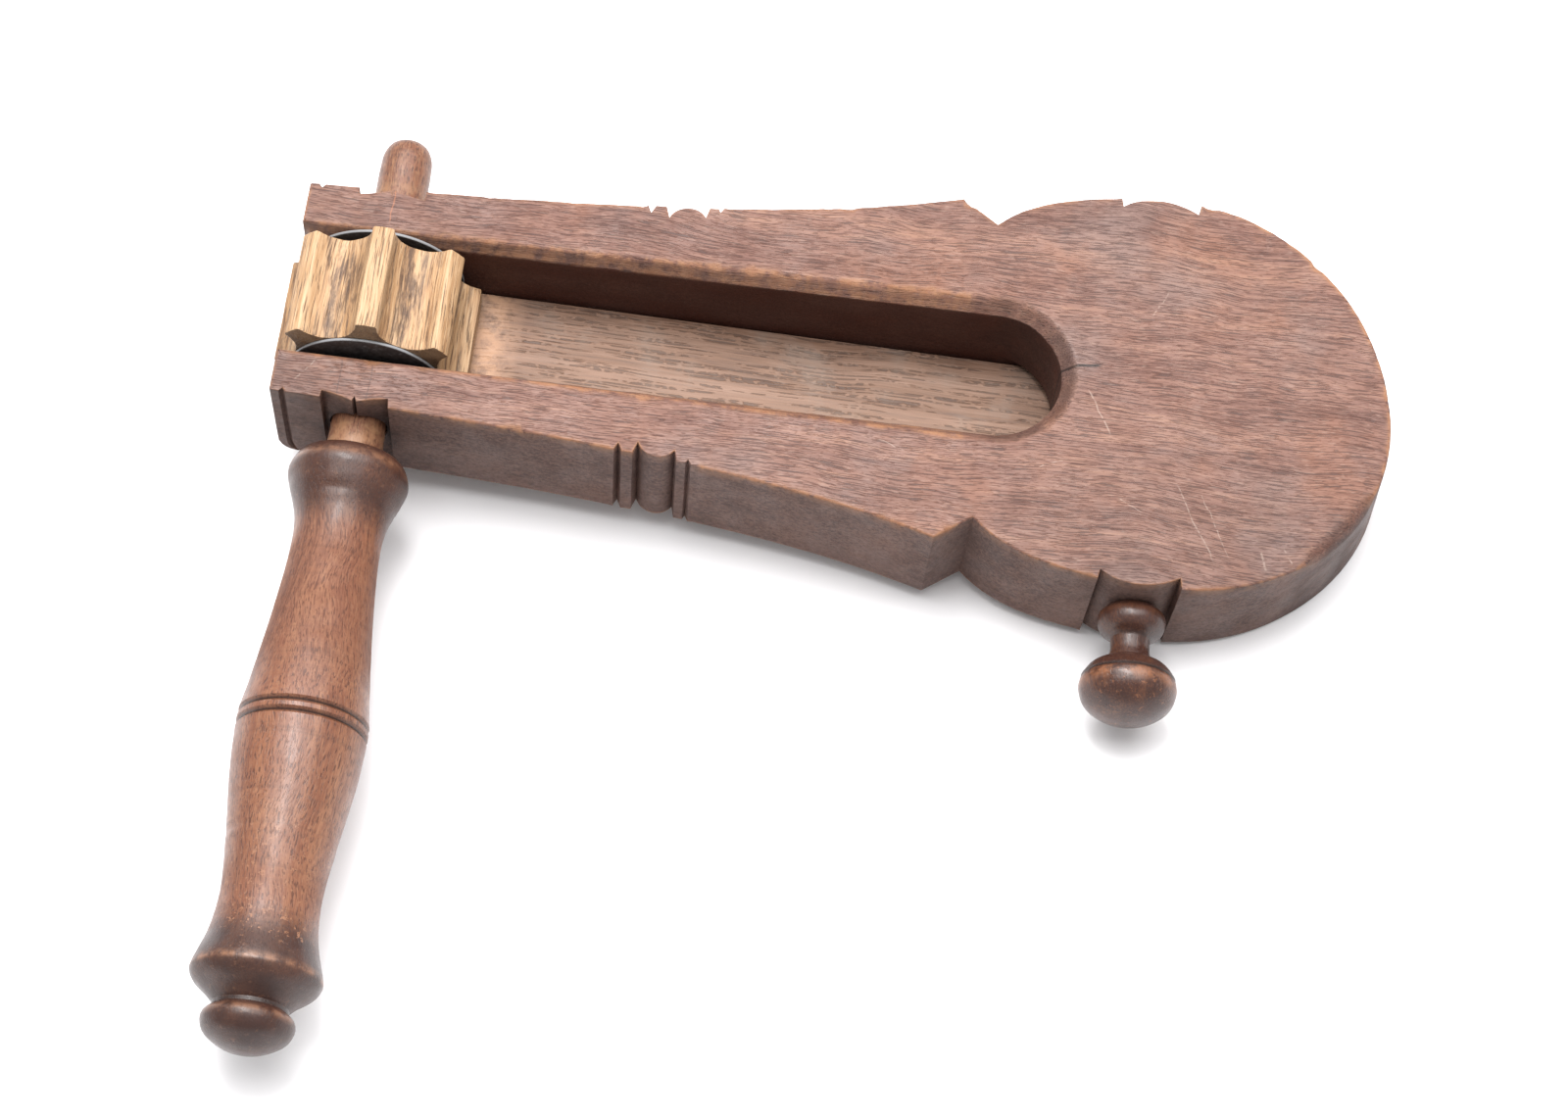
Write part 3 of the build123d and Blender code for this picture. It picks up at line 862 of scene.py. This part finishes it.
def build_tongue():
    """A thin slat with a slightly uneven top, rounded at its tip, with a thicker root in the housing."""
    stations = np.concatenate([
        [tongue_low[0]], tongue_low[0] + np.array((0.5, 1.2, 2.5)), np.arange(28, ROOT_X - 3, 4.0),
        [ROOT_X - 0.6, ROOT_X, ROOT_X + 1], np.arange(194, 230, 5.0),
        [tongue_high[0] - 0.6, tongue_high[0]],
    ])
    half = tongue_high[1]
    around = [(-1, -0.5), (-1, 0.5), (-0.985, 0.86), (-0.95, 1.0)]
    around += [(v, 1.0) for v in (-0.7, -0.4, 0.0, 0.4, 0.7)]
    around += [(0.95, 1.0), (0.985, 0.86), (1, 0.5), (1, -0.5), (0.985, -0.86), (0.95, -1.0)]
    around += [(v, -1.0) for v in (0.7, 0.4, 0.0, -0.4, -0.7)]
    around += [(-0.95, -1.0), (-0.985, -0.86)]
    points = []
    for x in stations:
        top = tongue_top(x)
        bottom = top - TONGUE_THICK if x < ROOT_X - 0.3 else tongue_low[2]
        tip = 1 - 0.30 * (1 - smooth_step(x, tongue_low[0], tongue_low[0] + 2.4))
        end = 1 - 0.04 * smooth_step(x, tongue_high[0] - 0.5, tongue_high[0])
        for u, v in around:
            middle, thick = (top + bottom) / 2, (top - bottom) / 2
            points.append((x, u * half * end, middle + v * thick * tip))
    points = np.array(points)
    upper = points[:, 2] > [tongue_top(x) - 0.2 for x in points[:, 0]]
    points[:, 2] -= upper * (0.12 + 0.12 * noise_at(points, (0.03, 0.12, 0.1), 2.0))
    faces = ring_faces(len(stations), len(around)) + end_faces(len(stations), len(around))
    rubbed = 1 - smooth_step(points[:, 0], 31, 39)
    tongue = new_mesh("tongue_slat", points, faces, {"rubbed": rubbed})
    tidy(tongue, 45)
    cut(tongue, [screw_hole(side) for side in (-1, 1)])
    tidy(tongue, 45)
    tongue.data.materials.clear()
    tongue.data.materials.append(tongue_material())
    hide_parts("tongue")
    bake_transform(tongue)


def build_screws():
    """The two countersunk screws keep their CAD shape, with their edges eased."""
    screws = frame["nodes"]["tongue_screws"]
    screws.data.materials.clear()
    screws.data.materials.append(screw_material())
    bevel = screws.modifiers.new("eased", "BEVEL")
    bevel.width = 0.12 * MM
    bevel.segments = 2
    bevel.limit_method = "ANGLE"
    bevel.angle_limit = math.radians(40)


# ---------------------------------------------------------------- crank
def wheel_outline():
    """The wheel seen along its axle, with how deep in a valley each point lies, from 0 to 1."""
    tip_r = wheel_high[2]
    half = TOOTH_WIDTH / 2
    pitch = 360 / TEETH
    scoop_r = VALLEY_CENTRE_R * math.sin(math.radians(pitch / 2)) - half
    flank = math.sqrt(tip_r**2 - half**2)
    half_tip = [(1, TOOTH_CORNER), (0.93, 0.35), (0.8, 0.02), (0.4, -0.05)]
    tip = [(-side, flank - below) for side, below in half_tip] + [(0, tip_r)]
    tip += [(side, flank - below) for side, below in reversed(half_tip)]
    outline, depth = [], []
    for index in range(TEETH):
        turn = math.radians(TOOTH_PHASE + pitch * index)
        across = np.array((-math.sin(turn), math.cos(turn)))
        out = np.array((math.cos(turn), math.sin(turn)))
        for side, reach in tip:
            outline.append(out * reach + across * side * TOOTH_WIDTH / 2)
            depth.append(0.0)
        valley = turn + math.radians(pitch / 2)
        centre = np.array((math.cos(valley), math.sin(valley))) * VALLEY_CENTRE_R
        first = outline[-1] - centre
        next_turn = math.radians(TOOTH_PHASE + pitch * (index + 1))
        next_out = np.array((math.cos(next_turn), math.sin(next_turn)))
        next_across = np.array((-math.sin(next_turn), math.cos(next_turn)))
        last = next_out * (flank - TOOTH_CORNER) - next_across * TOOTH_WIDTH / 2 - centre
        a0 = math.atan2(first[1], first[0])
        a1 = math.atan2(last[1], last[0])
        sweep = (a0 - a1) % (2 * math.pi)
        for t in np.linspace(0, 1, 15)[1:-1]:
            a = a0 - sweep * t
            outline.append(centre + scoop_r * np.array((math.cos(a), math.sin(a))))
            depth.append(math.sin(math.pi * t) ** 0.5)
    outline, depth = np.array(outline), np.array(depth)
    outline[:, 0] = np.clip(outline[:, 0], wheel_low[0], wheel_high[0])
    return outline, depth


def build_wheel():
    """Eight parallel-sided teeth with hand-scooped valleys between them."""
    outline, depth = wheel_outline()
    columns = len(outline)
    n = inward(outline)
    stations = [(wheel_low[1], 0.45), (wheel_low[1] + 0.12, 0.15), (wheel_low[1] + 0.5, 0.0)]
    stations += [(y, 0.0) for y in np.arange(wheel_low[1] + 1.7, wheel_high[1] - 1, 1.6)]
    stations += [(wheel_high[1] - 0.5, 0.0), (wheel_high[1] - 0.12, 0.15), (wheel_high[1], 0.45)]
    points, valley = [], []
    for y, inset in stations:
        ring = outline + n * inset
        points.append(np.c_[ring[:, 0], np.full(columns, y), ring[:, 1]])
        valley.append(depth)
    points, valley = np.vstack(points), np.concatenate(valley)
    normals = np.tile(n, (len(stations), 1))
    rough = 0.22 * noise_at(points, (0.16, 0.05, 0.16), 2.0)
    rough = rough + 0.16 * noise_at(points, (0.5, 0.16, 0.5), 9.0)
    moved = np.maximum(rough, 0) * 0.6 + valley * rough * 0.9
    points[:, 0] += normals[:, 0] * moved
    points[:, 2] += normals[:, 1] * moved
    faces = ring_faces(len(stations), columns) + end_faces(len(stations), columns)
    wheel = new_mesh("ratchet_wheel_oak", points, faces, {"valley": valley})
    tidy(wheel, 40)
    finish_piece(wheel, "crank", ["ratchet_wheel"], wheel_material())


def build_discs():
    """A thin washer against each end of the wheel."""
    black = disc_material()
    for node in ("near_disc", "far_disc"):
        low, high = extent(node)
        radius = high[0]
        profile = [(SPINDLE_R, low[1]), (radius * 0.6, low[1] + 0.04), (radius - 0.5, low[1]),
                   (radius - 0.12, low[1] + 0.1), (radius, low[1] + 0.35), (radius, high[1] - 0.35),
                   (radius - 0.12, high[1] - 0.1), (radius - 0.5, high[1]),
                   (radius * 0.6, high[1] - 0.04), (SPINDLE_R, high[1])]
        disc = turned(node + "_washer", np.array(profile), columns=128, fields={
            "rim": lambda p: smooth_step(np.hypot(p[:, 0], p[:, 2]), radius - 0.5, radius - 0.1)})
        finish_piece(disc, "crank", [node], black)


def along_y(**fields):
    """Material fields of a turned piece, each given as a function of y."""
    return {name: lambda p, field=field: field(p[:, 1]) for name, field in fields.items()}


def near_y(y, place, reach):
    """1 at place, falling to 0 at reach on either side."""
    return 1 - smooth_step(np.abs(y - place), 0, reach)


def build_spindle():
    """The crank's rod, with a tenon in the handle and a round free tip."""
    _, high = extent("spindle")
    profile = chain((0.0, -60), [
        [(6.0, -60)], [(6.0, -43.4)], [(7.9, -43.3)], [(SPINDLE_R, -35)], [(SPINDLE_R, 35)],
        [(7.3, 35.2)], [(7.3, 49.5)], [(6.9, 54.8), (4.9, 58.4), (0.02, high[1])],
    ], 1.2)
    fields = along_y(
        grime=lambda y: near_y(y, 34.5, 2.5) * 0.8 + near_y(y, 59, 4) * 0.4,
        worn=lambda y: smooth_step(-y, 33, 35) + near_y(y, 40, 5) * 0.8,
        groove=lambda y: 0 * y,
        nicks=lambda y: smooth_step(y, 34, 60) * 0.5,
    )
    spindle = turned("spindle_rod", profile, columns=72, fields=fields,
                     relief=lambda p: -0.06 * np.abs(noise_at(p, 0.2, 4.0)))
    material = turned_material("spindle_wood", 5.0, (156, 104, 78), (124, 78, 56), (196, 146, 108), 0.38)
    finish_piece(spindle, "crank", ["spindle"], material)


HANDLE_DENTS = ((-57.5, 97, 0.9, 16, 0.45), (-69.0, 55, 0.8, 9, 0.3),
                (-153.5, 150, 0.8, 22, 0.4), (-176, 70, 0.7, 20, 0.15))


def handle_relief(p):
    """Shallow hollows of hand turning, and dents: y, angle, length, width in degrees and depth."""
    waves = 0.10 * noise_at(p, 0.06, 1.0) + 0.05 * noise_at(p, (0.3, 0.3, 0.3), 2.0)
    dents = np.zeros(len(p))
    angle = np.degrees(np.arctan2(p[:, 2], p[:, 0]))
    for y, where, long, wide, deep in HANDLE_DENTS:
        dents += deep * np.exp(-(((p[:, 1] - y) / long) ** 2) - ((angle - where) / wide) ** 2)
    return np.minimum(waves, 0.0) - dents


def build_handle():
    """The turned grip: a flange at each end, a pair of grooves between two bellies, a button."""
    low, high = extent("handle")
    top_y, end_y = high[1], low[1]
    profile = chain((0.02, top_y), [
        [(5.0, top_y)], [(12.4, top_y)],
        [(14.2, -44.0), (15.6, -46.2), (16.3, -49.3), (15.2, -53.2), (12.4, -62.0), (11.9, -72.0),
         (13.3, -90.0), (15.7, -110.0), (17.12, -119.4)],
        [(16.4, -120.4)], [(17.2, -121.4)], [(17.2, -122.5)], [(16.4, -123.5)], [(17.15, -124.5)],
        [(16.4, -136.0), (14.2, -154.0), (12.9, -168.0), (13.9, -179.0), (16.6, -188.2),
         (16.7, -190.4), (15.4, -192.6), (12.0, -195.4), (9.8, -197.6)],
        [(9.7, -198.6)],
        [(11.6, -200.4), (11.9, -202.6), (10.4, -205.6), (6.0, -208.4), (2.2, -209.4), (0.02, end_y)],
    ], 1.0)
    fields = along_y(
        dull=lambda y: smooth_step(-y, 62, 76) * (1 - smooth_step(-y, 100, 118)) + near_y(y, -168, 9) * 0.5,
        grime=lambda y: smooth_step(y, -70, -58) * 0.85 + smooth_step(-y, 172, 184) * 0.9,
        # Pale rim bands on both flanges and the button: worn wood, and painted highlight lines.
        worn=lambda y: near_y(y, -47.3, 2.0) * 0.6 + near_y(y, -189.2, 1.5) + near_y(y, -200.8, 1.6) * 0.6,
        groove=lambda y: near_y(y, -120.4, 0.8) + near_y(y, -123.5, 0.8) + near_y(y, -198.2, 0.9) * 0.8,
        nicks=lambda y: smooth_step(-y, 148, 158) * (1 - smooth_step(-y, 180, 186)) + 0.2,
    )
    handle = turned("handle_turned", profile, relief=handle_relief, fields=fields)
    material = turned_material("handle_wood", 7.0, (160, 106, 80), (118, 72, 54), (192, 136, 102), 0.32,
                               has_dull_part=True)
    finish_piece(handle, "crank", ["handle"], material)


def build_knob():
    """The small turned knob on the head's edge, with its tenon inside the board."""
    profile = chain((0.02, -40), [
        [(5.0, -40)], [(5.0, -60.3)], [(7.6, -60.3)],
        [(9.0, -62.0), (9.2, -64.4), (8.2, -66.6), (6.0, -68.2)],
        [(5.4, -68.9)], [(5.3, -72.0), (5.9, -74.6)], [(7.0, -75.2)],
        [(10.6, -77.4), (12.62, -80.2)], [(12.35, -80.8)], [(12.85, -81.4)],
        [(13.1, -83.8), (11.8, -87.6), (8.4, -90.6), (4.4, -92.2), (0.02, knob_low[1])],
    ], 0.7)
    fields = along_y(
        grime=lambda y: 0.72 + 0 * y,
        worn=lambda y: near_y(y, -83.0, 2.8) + near_y(y, -62.5, 1.5) * 0.2,
        groove=lambda y: near_y(y, -80.8, 0.6) + near_y(y, -68.6, 0.7) * 0.5,
        nicks=lambda y: smooth_step(-y, 80, 83) * 0.6,
    )
    knob = turned("side_knob_turned", profile, x=KNOB_X, fields=fields,
                  relief=lambda p: -0.12 * np.abs(noise_at(p, 0.12, 3.0)))
    material = turned_material("knob_wood", 9.0, (106, 70, 58), (74, 47, 40), (186, 122, 84), 0.26)
    finish_piece(knob, "frame", ["side_knob"], material)


# ---------------------------------------------------------------- floor, light, camera
def build_stage():
    """The rattle lies on its lowest tooth and the head's underside, so the floor leans to meet both."""
    points = np.array([v.co for v in frame["nodes"]["body_board"].data.vertices])
    x, y, z = ((points - SHAFT) / MM).T
    in_head = x > 100
    low_z, near_end_y = wheel_low[2], wheel_low[1]
    slope = ((z[in_head] - low_z + FLOOR_LEAN_Y * (y[in_head] - near_end_y)) / x[in_head]).min()

    def floor_z(px, py):
        return low_z + slope * px - FLOOR_LEAN_Y * (py - near_end_y) - FLOOR_GAP

    corners = [(a + 100, b, floor_z(a + 100, b)) for a, b in
               ((-FLOOR_HALF, -FLOOR_HALF), (FLOOR_HALF, -FLOOR_HALF),
                (FLOOR_HALF, FLOOR_HALF), (-FLOOR_HALF, FLOOR_HALF))]
    floor = new_mesh("floor", corners, [(0, 1, 2, 3)])
    n = Nodes("floor_white")
    grain = n.noise(n.vector("MULTIPLY", n.position, (40.0, 40.0, 40.0)), 2.0)
    colour = n.ramp(grain, [(0.0, (0.80, 0.79, 0.80)), (1.0, (0.84, 0.83, 0.84))])
    n.put(n.shader.inputs["Base Color"], colour)
    n.shader.inputs["Roughness"].default_value = 0.9
    n.shader.inputs["Specular IOR Level"].default_value = 0.1
    floor.data.materials.append(n.material)


def area_light(name, place, aim, size, power):
    """A white rectangular lamp at place, turned towards aim; size is in metres, power in watts."""
    data = bpy.data.lights.new(name, "AREA")
    data.shape = "RECTANGLE"
    data.size, data.size_y = size
    data.energy = power
    lamp = bpy.data.objects.new(name, data)
    bpy.context.scene.collection.objects.link(lamp)
    lamp.location = row(place)
    lamp.rotation_euler = (Vector(row(aim)) - lamp.location).to_track_quat("-Z", "Y").to_euler()


def build_light():
    """Even white surroundings, a large lamp overhead and a narrow one behind."""
    world = bpy.data.worlds.new("studio")
    world.use_nodes = True
    background = world.node_tree.nodes["Background"]
    background.inputs["Color"].default_value = (1.0, 1.0, 1.0, 1)
    background.inputs["Strength"].default_value = 0.72
    bpy.context.scene.world = world
    area_light("overhead", (60, 450, 1500), (80, 0, 0), (2.2, 1.8), 54)
    area_light("softbox", (-130, 330, 1400), (60, 0, 0), (0.42, 0.9), 17)


def build_camera():
    """Seen from the handle's side, steeply from above, with the board turned a little in the picture."""
    data = bpy.data.cameras.new("camera")
    data.sensor_width = 36.0
    data.lens = 71.46
    data.clip_end = 60.0
    camera = bpy.data.objects.new("camera", data)
    bpy.context.scene.collection.objects.link(camera)
    camera.location = row((112.4, -424.2, 753.1))
    ahead = Vector((0.00823, 0.43835, -0.89877))
    roll = math.radians(7.74)
    level = ahead.to_track_quat("-Z", "Y")
    camera.rotation_mode = "QUATERNION"
    camera.rotation_quaternion = level @ Euler((0, 0, roll)).to_quaternion()
    bpy.context.scene.camera = camera


build_board()
build_tongue()
build_screws()
build_wheel()
build_discs()
build_spindle()
build_handle()
build_knob()
build_stage()
build_light()
build_camera()
bpy.context.scene.view_settings.view_transform = "Standard"
